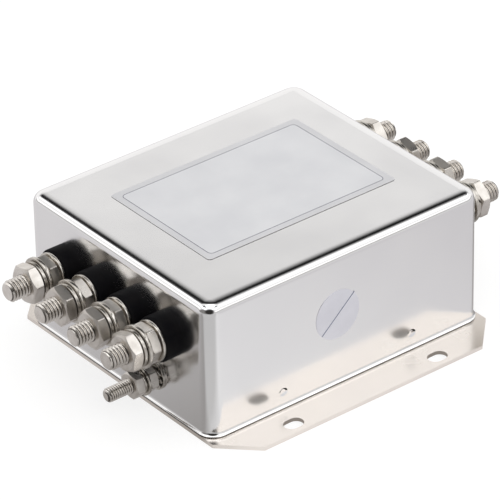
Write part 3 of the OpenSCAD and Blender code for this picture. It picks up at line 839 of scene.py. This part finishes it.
def makeSpringWasher(sizes, thickness):
    # one open turn whose ends stand a little apart
    inner = sizes["hole"] / 2
    outer = sizes["diameter"] / 2
    lift = sizes["lift"]
    tall = thickness - 2 * lift
    bm = bmesh.new()
    profile = [(inner, 0), (outer, 0), (outer, tall), (inner, tall)]
    face = bm.faces.new([bm.verts.new((radius, 0, height)) for radius, height in profile])
    spinRound(bm, [face], math.radians(360 - sizes["gap"]), steps=72, climb=2 * lift)
    lean = math.tan(math.radians(sizes["slant"])) * 2 / (inner + outer)
    for vert in bm.verts:
        spin = Matrix.Rotation((vert.co.z - thickness / 2) * lean, 4, "Z")
        vert.co = spin @ vert.co
    bmesh.ops.recalc_face_normals(bm, faces=bm.faces)
    bevelSharp(bm, sizes["edge"], segments=2)
    return bm


def makeNut(sizes, height):
    # a circle is drawn out to a hexagon, ring by ring, with a chamfer on both faces
    mouthGap = 0.12
    throatShare = 0.43
    halfSide = math.radians(30)
    slope = math.tan(halfSide)
    apothem = sizes["across"] / 2
    flat = apothem * sizes["chamferShare"]
    mouth = sizes["thread"] / 2 + mouthGap
    throat = sizes["thread"] * throatShare

    def hexRadius(vert):
        turn = math.atan2(vert.co.y, vert.co.x) % (2 * halfSide)
        return apothem / math.cos(turn - halfSide)

    def hexHeight(vert):
        return (hexRadius(vert) - flat) * slope

    # each ring gives its radius and height as rules of a vertex on it
    rings = [
        (lambda v: throat, lambda v: mouth - throat),
        (lambda v: mouth, lambda v: 0),
        (lambda v: flat, lambda v: 0),
        (hexRadius, hexHeight),
        (hexRadius, lambda v: height - hexHeight(v)),
        (lambda v: flat, lambda v: height),
        (lambda v: mouth, lambda v: height),
        (lambda v: throat, lambda v: height - mouth + throat),
        (lambda v: throat, lambda v: mouth - throat),
    ]
    bm = bmesh.new()
    bmesh.ops.create_circle(bm, cap_ends=False, radius=1, segments=72)
    ring = bm.edges[:]
    verts = bm.verts[:]
    for index, (radiusRule, heightRule) in enumerate(rings):
        if index:
            made = bmesh.ops.extrude_edge_only(bm, edges=ring)["geom"]
            ring = edgesOf(made)
            verts = vertsOf(made)
        for vert in verts:
            distance = radiusRule(vert)
            level = heightRule(vert)
            vert.co.xy = vert.co.xy.normalized() * distance
            vert.co.z = level
    bmesh.ops.remove_doubles(bm, verts=bm.verts, dist=weld)
    bmesh.ops.recalc_face_normals(bm, faces=bm.faces)
    corner = apothem / math.cos(halfSide)
    upright = [
        edge
        for edge in bm.edges
        if all(abs(vert.co.xy.length - corner) < closeBy for vert in edge.verts)
    ]
    bevelEdges(bm, upright, sizes["edge"], segments=2)
    return bm


def makeThread(sizes, root, tip):
    # one pitch of the thread's section is carried up a helix, then both ends are cut flat
    pitch = sizes["pitch"]
    outer = sizes["diameter"] / 2
    depth = threadForm["depthShare"] * pitch
    section = threadForm["lowerFlank"] + threadForm["upperFlank"]
    turns = math.ceil((tip - root) / pitch) + 2
    start = root - pitch
    bm = bmesh.new()
    verts = [
        bm.verts.new((outer - depth * (1 - rise), 0, start + along * pitch))
        for along, rise in section
    ]
    lines = [bm.edges.new(pair) for pair in zip(verts, verts[1:])]
    spinRound(bm, verts + lines, fullTurn, threadForm["stepsPerTurn"], climb=pitch)
    # faces deep in the groove take the dark copy of the plating: painted shade in the thread roots
    grooved = outer - threadForm["paintedShadeShare"] * depth
    paintFaces(bm, 1, lambda face: all(vert.co.xy.length < grooved for vert in face.verts))
    oneTurn = bm.verts[:] + bm.edges[:] + bm.faces[:]
    for index in range(1, turns):
        copied = bmesh.ops.duplicate(bm, geom=oneTurn)["geom"]
        bmesh.ops.translate(bm, vec=(0, 0, index * pitch), verts=vertsOf(copied))
    bmesh.ops.remove_doubles(bm, verts=bm.verts, dist=threadForm["weld"])
    for height, way in [(root, -1), (tip, 1)]:
        bmesh.ops.bisect_plane(
            bm,
            geom=bm.verts[:] + bm.edges[:] + bm.faces[:],
            plane_co=(0, 0, height),
            plane_no=(0, 0, way),
            clear_outer=True,
        )
        loose = [edge for edge in bm.edges if edge.is_boundary]
        rim = [edge for edge in loose if abs(edge.verts[0].co.z - height) < weld]
        bmesh.ops.edgeloop_fill(bm, edges=rim)
    chamfer = sizes["chamfer"]
    for vert in bm.verts:
        # both ends narrow in a cone, and the tip in a dome where the rod has one
        reach = max(0.0, vert.co.z - tip + chamfer, root - vert.co.z + chamfer)
        if sizes["dome"] and vert.co.z > tip - chamfer:
            share = reach / chamfer
            limit = outer - sizes["dome"] * (1 - math.sqrt(max(0.0, 1 - share**2)))
        else:
            limit = outer - reach
        if vert.co.xy.length > limit:
            vert.co.xy = vert.co.xy.normalized() * limit
    bmesh.ops.recalc_face_normals(bm, faces=bm.faces)
    return bm


plated = ["platedFastener"]
nutted = ["platedNut"]
threaded = ["platedStud", "threadRootShade"]


def buildTerminals(end):
    side = ends[end]
    for number in numbers:
        node = f"{end}_bushing_{number}"
        parts = [(makeBushing(*span(node, side)), terminalPlace(end, number))]
        finishPiece(pieceName(node), parts, ["bushingPlastic"], [node])
        node = f"{end}_stud_{number}"
        place = terminalPlace(end, number, turn=stud["turnStep"] * number)
        parts = [(makeThread(stud, *span(node, side)), place)]
        finishPiece(pieceName(node), parts, threaded, [node])

    def addRow(kind, make, sizes, turns, looks):
        # the same piece on each stud of this end
        node = f"{end}_{kind}"
        low, high = span(node, side)
        parts = [
            (make(sizes, high - low), terminalPlace(end, number, low, turn))
            for number, turn in zip(numbers, turns)
        ]
        finishPiece(pieceName(node), parts, looks, [node])

    for kind, sizes in washers.items():
        addRow(kind, makeWasher, sizes, [0] * len(numbers), plated)
    addRow("spring_washers", makeSpringWasher, springWasher, springWasher["turns"], plated)
    for kind in ("inner_nuts", "outer_nuts"):
        addRow(kind, makeNut, nut, [nutTurn(side, turn) for turn in nut[kind]], nutted)


for end in ends:
    buildTerminals(end)
print("terminals made")


# Earth stud, at the foot of the line end

earthStud = {"diameter": 4.0, "pitch": 0.7, "chamfer": 0.9, "dome": 1.1}
earthNut = {"across": 7.0, "thread": 4.0, "chamferShare": 0.94, "edge": 0.15, "turn": 168}
earthWasher = {"diameter": 8.4, "hole": 4.4, "edge": 0.15}
earthSpring = {
    "diameter": 6.9,
    "hole": 4.4,
    "gap": 9.0,
    "slant": 35.0,
    "lift": 0.1,
    "edge": 0.12,
    "turn": 140,
}
toothWasher = {
    "diameter": 7.6,
    "hole": 4.4,
    "teeth": 10,
    "thickness": 0.5,
    "twist": 20.0,
    # the teeth start this far inside the ring and take this share of their spacing
    "overlap": 0.5,
    "toothShare": 0.62,
    "edge": 0.08,
}


def earthPlace(distance=0.0, turn=0.0):
    low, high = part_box("earth_stud")
    middle = (low + high) / 2
    spot = Vector((-wallX - distance * mm, middle.y, middle.z))
    turned = Matrix.Rotation(math.radians(turn), 4, "Z")
    return Matrix.Translation(spot) @ outwards(-1) @ turned


def makeToothWasher(sizes, height):
    # a ring whose rim is split into teeth, each twisted a little
    inner = sizes["hole"] / 2
    outer = sizes["diameter"] / 2
    waist = (inner + outer) / 2
    thick = sizes["thickness"]
    ring = lathe([(inner, 0), (waist, 0), (waist, thick), (inner, thick)])
    bmesh.ops.translate(ring, vec=(0, 0, (height - thick) / 2), verts=ring.verts)
    # gather scales what it takes to metres, so the washer's own parts undo that
    parts = [(ring, Matrix.Scale(1 / mm, 4))]
    overlap = sizes["overlap"]
    spacing = fullTurn / sizes["teeth"]
    size = Vector((outer - waist + overlap, sizes["toothShare"] * spacing * outer, thick))
    twist = Matrix.Rotation(math.radians(sizes["twist"]), 4, "X")
    out = Matrix.Translation(((waist + outer - overlap) / 2, 0, height / 2))
    for index in range(sizes["teeth"]):
        tooth = bmesh.new()
        bmesh.ops.create_cube(tooth, size=1)
        bmesh.ops.scale(tooth, vec=size, verts=tooth.verts)
        bevelSharp(tooth, sizes["edge"], segments=2)
        place = Matrix.Rotation(spacing * index, 4, "Z") @ out @ twist
        parts.append((tooth, place @ Matrix.Scale(1 / mm, 4)))
    return gather(parts)


def buildEarth():
    def add(node, make, sizes, looks):
        low, high = span(node, -1)
        parts = [(make(sizes, high - low), earthPlace(low, sizes.get("turn", 0)))]
        finishPiece(pieceName(node), parts, looks, [node])

    add("earth_stud", lambda sizes, length: makeThread(sizes, 0, length), earthStud, threaded)
    add("earth_wall_washer", makeWasher, earthWasher, plated)
    add("earth_tooth_washer", makeToothWasher, toothWasher, plated)
    add("earth_inner_nut", makeNut, earthNut, nutted)
    add("earth_flat_washer", makeWasher, earthWasher, plated)
    add("earth_spring_washer", makeSpringWasher, earthSpring, plated)
    add("earth_outer_nut", makeNut, earthNut, nutted)


buildEarth()
print("earth stud made")


# Label on the top and sticker on the near wall: bare films with a thin generic line

label = {"corner": 1.1, "lineInset": 2.04, "lineWidth": 0.2, "lineCorner": 1.4, "lineRise": 0.012}
sticker = {"lineWidth": 0.27, "lineRise": 0.012, "lineFrom": (-5.4, -4.8), "lineTo": (5.7, 4.95)}


def roundedPlate(halfLength, halfWidth, radius, height):
    bm = roundedRectangle(halfLength, halfWidth, radius, segments=10)
    made = bmesh.ops.extrude_face_region(bm, geom=bm.faces[:])["geom"]
    bmesh.ops.translate(bm, vec=(0, 0, height), verts=vertsOf(made))
    bmesh.ops.recalc_face_normals(bm, faces=bm.faces)
    return bm


def insetTop(bm, height, thickness):
    # a border of even width inside the top face
    level = [face for face in bm.faces if face.normal.z > 0.9]
    top = [face for face in level if face.calc_center_median().z > height]
    bmesh.ops.inset_region(bm, faces=top, thickness=thickness, depth=0, use_even_offset=True)


def buildLabel():
    low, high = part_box("rating_label")
    middle = (low + high) / 2
    half = (high - low) / 2 / mm
    thick = 2 * half.z
    film = roundedPlate(half.x, half.y, label["corner"], thick)
    # the film's side faces take the near-black finish: painted shade along the label's edge
    paintFaces(film, 3, lambda face: abs(face.normal.z) < 0.5)
    inset = label["lineInset"]
    tall = thick + label["lineRise"]
    line = roundedPlate(half.x - inset, half.y - inset, label["lineCorner"], tall)
    insetTop(line, thick, label["lineWidth"])
    paintFaces(line, 1, lambda face: True)
    # only the face inside the border has more than a quad's corners
    paintFaces(line, 2, lambda face: face.normal.z > 0.9 and len(face.verts) > 4)
    place = Matrix.Translation((middle.x, middle.y, low.z))
    looks = ["labelMargin", "borderInk", "labelFilm", "labelEdgeShade"]
    parts = [(film, place), (line, place)]
    finishPiece("ratingLabel", parts, looks, ["rating_label"])


def buildSticker():
    low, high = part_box("inspection_sticker")
    middle = (low + high) / 2
    half = (high - low) / 2 / mm
    thick = 2 * half.y
    profile = [(0, 0), (half.x, 0), (half.x, thick), (0, thick)]
    disc = lathe(profile, segments=96, closed=False)
    start = Vector(sticker["lineFrom"])
    stop = Vector(sticker["lineTo"])
    run = stop - start
    strip = bmesh.new()
    bmesh.ops.create_cube(strip, size=1)
    bmesh.ops.scale(strip, vec=(run.length, sticker["lineWidth"], thick), verts=strip.verts)
    lean = Matrix.Rotation(math.atan2(run.y, run.x), 4, "Z")
    centre = (start + stop) / 2
    shift = Matrix.Translation((centre.x, centre.y, thick / 2 + sticker["lineRise"]))
    bmesh.ops.transform(strip, matrix=shift @ lean, verts=strip.verts)
    paintFaces(strip, 1, lambda face: True)
    # local X runs along the wall, local Y up, and local Z out of it
    upright = Matrix.Rotation(math.radians(90), 4, "X")
    place = Matrix.Translation((middle.x, high.y, middle.z)) @ upright
    looks = ["stickerFilm", "stickerInk"]
    parts = [(disc, place), (strip, place)]
    finishPiece("inspectionSticker", parts, looks, ["inspection_sticker"])


buildLabel()
buildSticker()
print("label and sticker made")


# Inner pieces keep their CAD form and get their finish

innerFinishes = {
    "inner_insulators": "bushingPlastic",
    "clamp_nuts": "platedFastener",
    "solder_lugs": "tinnedCopper",
    "leads": "leadSleeve",
    "choke_core": "coatedFerrite",
    "choke_windings": "enamelledWire",
}
plainFinishes = {
    "earth_clamp_nuts": "platedFastener",
    "earth_bracket": "tinnedCopper",
    "circuit_board": "boardLaminate",
    "board_supports": "nylonPost",
    "insulating_sheet": "insulatingPaper",
    "x_capacitors": "capacitorCase",
    "y_capacitors": "earthCapacitorCase",
    "discharge_resistors": "resistorBody",
}
nodeFinishes = {f"{end}_{kind}": look for end in ends for kind, look in innerFinishes.items()}
nodeFinishes.update(plainFinishes)
for node, look in nodeFinishes.items():
    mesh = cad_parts[node].data
    mesh.materials.clear()
    mesh.materials.append(materials[look])
print("inner pieces finished:", len(nodeFinishes))


# Studio: a white sweep for the camera, and soft panels for the metal to reflect

studio = {
    "skyLight": 0.92,
    "farAzimuth": 52.0,
    "farRange": (0.5, 0.57),
    "farStops": [
        (0.49, (1.07, 1.055, 1.04)),
        (0.54, (0.79, 0.78, 0.77)),
        (0.565, (0.76, 0.75, 0.74)),
        (0.6, (0.4, 0.395, 0.39)),
    ],
    "nearStops": [
        (0.0, (0.8, 0.79, 0.78)),
        (0.14, (0.8, 0.79, 0.78)),
        (0.19, (0.4, 0.39, 0.38)),
        (0.24, (0.4, 0.39, 0.38)),
        (0.29, (1.35, 1.33, 1.31)),
        (0.44, (1.35, 1.33, 1.31)),
        (0.48, (1.02, 1.01, 1.0)),
        (0.57, (1.02, 1.01, 1.0)),
        (0.66, (1.7, 1.7, 1.7)),
        (0.7, (1.7, 1.7, 1.7)),
        (0.74, (1.9, 1.9, 1.9)),
    ],
    "ceiling": {"lean": 0.2136, "range": (0.75, 0.81), "azimuth": 47.2},
    "ceilingStops": [
        (0.03, (0.003, 0.003, 0.004)),
        (0.09, (1.3, 1.29, 1.28)),
        (0.22, (1.2, 1.19, 1.18)),
        (0.28, (0.75, 0.74, 0.73)),
        (0.345, (0.35, 0.345, 0.34)),
        (0.42, (0.09, 0.088, 0.086)),
        (0.47, (0.015, 0.015, 0.015)),
        (0.62, (0.004, 0.004, 0.005)),
        (0.695, (0.06, 0.059, 0.058)),
        (0.76, (0.17, 0.168, 0.166)),
        (0.85, (0.35, 0.345, 0.34)),
    ],
    # azimuth, elevation, the range of nearness over which the patch fades in, and its colour
    "patches": [
        (232, 84, (0.89, 0.94), (1.8, 1.8, 1.8)),
        (183, 8, (0.83, 0.92), (0.25, 0.24, 0.23)),
        (226, 24, (0.81, 0.92), (0.03, 0.027, 0.025)),
    ],
    "floorShade": (0.9, 0.895, 0.885),
    "floorGlow": 1.15,
    "shadowShare": 0.35,
    # for glossy rays the floor glows in a pattern along X and Y, darker near the can's near corner:
    # painted shade and light that the walls reflect
    "mirrorSplit": (-0.042, -0.035),
    "leftMirror": [
        (-0.035, (0.36, 0.345, 0.335)),
        (0.07, (0.75, 0.73, 0.735)),
    ],
    "frontMirror": [
        (-0.055, (0.62, 0.61, 0.605)),
        (-0.04, (0.9, 0.89, 0.89)),
        (0.08, (0.71, 0.69, 0.7)),
    ],
    # under the plate's footprint the floor's glow for glossy rays is darker: a painted shadow, seen
    # through the slots and near the edges
    "footprint": (0.032, 0.0505),
    "footprintEdge": 0.0005,
    "shadowUnderPlate": (0.27, 0.255, 0.24),
    "floorSize": 3.0,
    "floorDrop": 0.0001,
}
lampSizes = {"spot": (-0.35, -0.75, 0.9), "aim": (0, 0, 0.02), "size": 0.7, "power": 2.2}


def mixShaders(tree, factor, first, second):
    node = tree.nodes.new("ShaderNodeMixShader")
    tree.links.new(factor, node.inputs["Fac"])
    tree.links.new(first, node.inputs[1])
    tree.links.new(second, node.inputs[2])
    return node.outputs["Shader"]


def buildWorld():
    world = bpy.data.worlds.new("studio")
    bpy.context.scene.world = world
    world.use_nodes = True
    tree = world.node_tree
    tree.nodes.clear()
    direction = tree.nodes.new("ShaderNodeTexCoord").outputs["Generated"]
    unit = tree.nodes.new("ShaderNodeVectorMath")
    unit.operation = "NORMALIZE"
    tree.links.new(direction, unit.inputs[0])
    split = tree.nodes.new("ShaderNodeSeparateXYZ")
    tree.links.new(unit.outputs["Vector"], split.inputs["Vector"])
    height = split.outputs["Z"]

    def ramp(value, stops):
        node = tree.nodes.new("ShaderNodeValToRGB")
        tree.links.new(value, node.inputs["Fac"])
        elements = node.color_ramp.elements
        while len(elements) > 1:
            elements.remove(elements[-1])
        elements[0].position = stops[0][0]
        elements[0].color = (*stops[0][1], 1)
        for position, colour in stops[1:]:
            elements.new(position).color = (*colour, 1)
        return node.outputs["Color"]

    def towards(azimuth, elevation=0):
        # how closely a direction points to a place in the sky
        turn = math.radians(azimuth)
        rise = math.radians(elevation)
        nearness = tree.nodes.new("ShaderNodeVectorMath")
        nearness.operation = "DOT_PRODUCT"
        nearness.inputs[1].default_value = (
            math.cos(turn) * math.cos(rise),
            math.sin(turn) * math.cos(rise),
            math.sin(rise),
        )
        tree.links.new(unit.outputs["Vector"], nearness.inputs[0])
        return nearness.outputs["Value"]

    far = ramp(height, studio["farStops"])
    near = ramp(height, studio["nearStops"])
    farness = towards(studio["farAzimuth"])
    share = addRange(tree, farness, *studio["farRange"], 0.0, 1.0)
    bright = addMix(tree, share, near, far)
    lean = tree.nodes.new("ShaderNodeMath")
    lean.operation = "MULTIPLY_ADD"
    tree.links.new(farness, lean.inputs[0])
    lean.inputs[1].default_value = studio["ceiling"]["lean"]
    tree.links.new(height, lean.inputs[2])
    share = addRange(tree, lean.outputs["Value"], *studio["ceiling"]["range"], 0.0, 1.0)
    dim = ramp(towards(studio["ceiling"]["azimuth"]), studio["ceilingStops"])
    mirrored = addMix(tree, share, bright, dim)
    for azimuth, elevation, fade, colour in studio["patches"]:
        share = addRange(tree, towards(azimuth, elevation), *fade, 0.0, 1.0)
        mirrored = addMix(tree, share, mirrored, colour)

    def background(strength=1.0):
        node = tree.nodes.new("ShaderNodeBackground")
        node.inputs["Color"].default_value = (1, 1, 1, 1)
        node.inputs["Strength"].default_value = strength
        return node

    path = tree.nodes.new("ShaderNodeLightPath")
    shine = background()
    tree.links.new(mirrored, shine.inputs["Color"])
    sky = background(studio["skyLight"])
    white = background()
    soft = mixShaders(
        tree,
        path.outputs["Is Glossy Ray"],
        sky.outputs["Background"],
        shine.outputs["Background"],
    )
    seen = mixShaders(tree, path.outputs["Is Camera Ray"], soft, white.outputs["Background"])
    out = tree.nodes.new("ShaderNodeOutputWorld")
    tree.links.new(seen, out.inputs["Surface"])


def buildFloor():
    bm = bmesh.new()
    bmesh.ops.create_grid(bm, x_segments=1, y_segments=1, size=studio["floorSize"])
    bmesh.ops.translate(bm, vec=(0, 0, -studio["floorDrop"]), verts=bm.verts)
    mesh = bpy.data.meshes.new("floor")
    bm.to_mesh(mesh)
    bm.free()
    floor = bpy.data.objects.new("floor", mesh)
    bpy.context.scene.collection.objects.link(floor)
    material = bpy.data.materials.new("floorPaper")
    material.use_nodes = True
    tree = material.node_tree
    shader = tree.nodes["Principled BSDF"]
    shader.inputs["Base Color"].default_value = (*studio["floorShade"], 1)
    shader.inputs["Roughness"].default_value = 1.0
    shader.inputs["Specular IOR Level"].default_value = 0.0
    place = tree.nodes.new("ShaderNodeTexCoord")
    split = tree.nodes.new("ShaderNodeSeparateXYZ")
    tree.links.new(place.outputs["Object"], split.inputs["Vector"])

    def alongAxis(axis, stops):
        colour = stops[0][1]
        for (start, _), (stop, reached) in zip(stops, stops[1:]):
            share = addRange(tree, split.outputs[axis], start, stop, 0, 1)
            colour = addMix(tree, share, colour, reached)
        return colour

    def inside(axis, limit):
        size = tree.nodes.new("ShaderNodeMath")
        size.operation = "ABSOLUTE"
        tree.links.new(split.outputs[axis], size.inputs[0])
        return addRange(tree, size.outputs["Value"], limit - studio["footprintEdge"], limit, 1, 0)

    # the glow the metal sees in the floor: painted reflection, darker near the can's near corner
    share = addRange(tree, split.outputs["Y"], *studio["mirrorSplit"], 0, 1)
    front = alongAxis("X", studio["frontMirror"])
    pattern = addMix(tree, share, front, alongAxis("Y", studio["leftMirror"]))
    # painted shadow: a darker glow under the plate's footprint
    under = tree.nodes.new("ShaderNodeMath")
    under.operation = "MULTIPLY"
    for socket, (axis, limit) in zip(under.inputs, zip("XY", studio["footprint"])):
        tree.links.new(inside(axis, limit), socket)
    pattern = addMix(tree, under.outputs["Value"], pattern, studio["shadowUnderPlate"])
    glow = tree.nodes.new("ShaderNodeEmission")
    glow.inputs["Strength"].default_value = studio["floorGlow"]
    mirrored = tree.nodes.new("ShaderNodeEmission")
    tree.links.new(pattern, mirrored.inputs["Color"])
    path = tree.nodes.new("ShaderNodeLightPath")
    share = addRange(tree, path.outputs["Is Camera Ray"], 0, 1, 0, 1 - studio["shadowShare"])
    lit = mixShaders(tree, share, shader.outputs["BSDF"], glow.outputs["Emission"])
    seen = mixShaders(tree, path.outputs["Is Glossy Ray"], lit, mirrored.outputs["Emission"])
    tree.links.new(seen, tree.nodes["Material Output"].inputs["Surface"])
    mesh.materials.append(material)


def buildLamp():
    lamp = bpy.data.lights.new("softKey", "AREA")
    lamp.shape = "SQUARE"
    lamp.size = lampSizes["size"]
    lamp.energy = lampSizes["power"]
    holder = bpy.data.objects.new("softKey", lamp)
    spot = Vector(lampSizes["spot"])
    holder.location = spot
    holder.rotation_euler = (Vector(lampSizes["aim"]) - spot).to_track_quat("-Z", "Y").to_euler()
    holder.visible_glossy = False
    bpy.context.scene.collection.objects.link(holder)


buildWorld()
buildFloor()
buildLamp()


# Camera: where the photograph was taken from, with its long lens

view = {
    "azimuth": 51.988,
    "elevation": 31.703,
    "roll": -1.187,
    "shiftRight": 1.656,
    "shiftUp": -19.096,
    "distance": 1153.2,
    "focalPixels": 4238.15,
    "framePixels": 500.0,
    "sensor": 36.0,
    "clip": (0.1, 20),
}


def buildCamera():
    azimuth = math.radians(view["azimuth"])
    elevation = math.radians(view["elevation"])
    roll = math.radians(view["roll"])
    forward = Vector(
        (
            math.cos(azimuth) * math.cos(elevation),
            math.sin(azimuth) * math.cos(elevation),
            -math.sin(elevation),
        )
    )
    level = Vector((math.sin(azimuth), -math.cos(azimuth), 0))
    upright = level.cross(forward)
    right = math.cos(roll) * level + math.sin(roll) * upright
    up = math.cos(roll) * upright - math.sin(roll) * level
    eye = -(view["shiftRight"] * right + view["shiftUp"] * up + view["distance"] * forward) * mm
    lens = bpy.data.cameras.new("photoView")
    lens.sensor_width = view["sensor"]
    lens.lens = view["focalPixels"] / view["framePixels"] * view["sensor"]
    lens.clip_start, lens.clip_end = view["clip"]
    camera = bpy.data.objects.new("photoView", lens)
    turn = Matrix((right, up, -forward)).transposed().to_4x4()
    camera.matrix_world = Matrix.Translation(eye) @ turn
    bpy.context.scene.collection.objects.link(camera)
    bpy.context.scene.camera = camera


buildCamera()
bpy.context.scene.view_settings.view_transform = "Standard"
print("studio made")
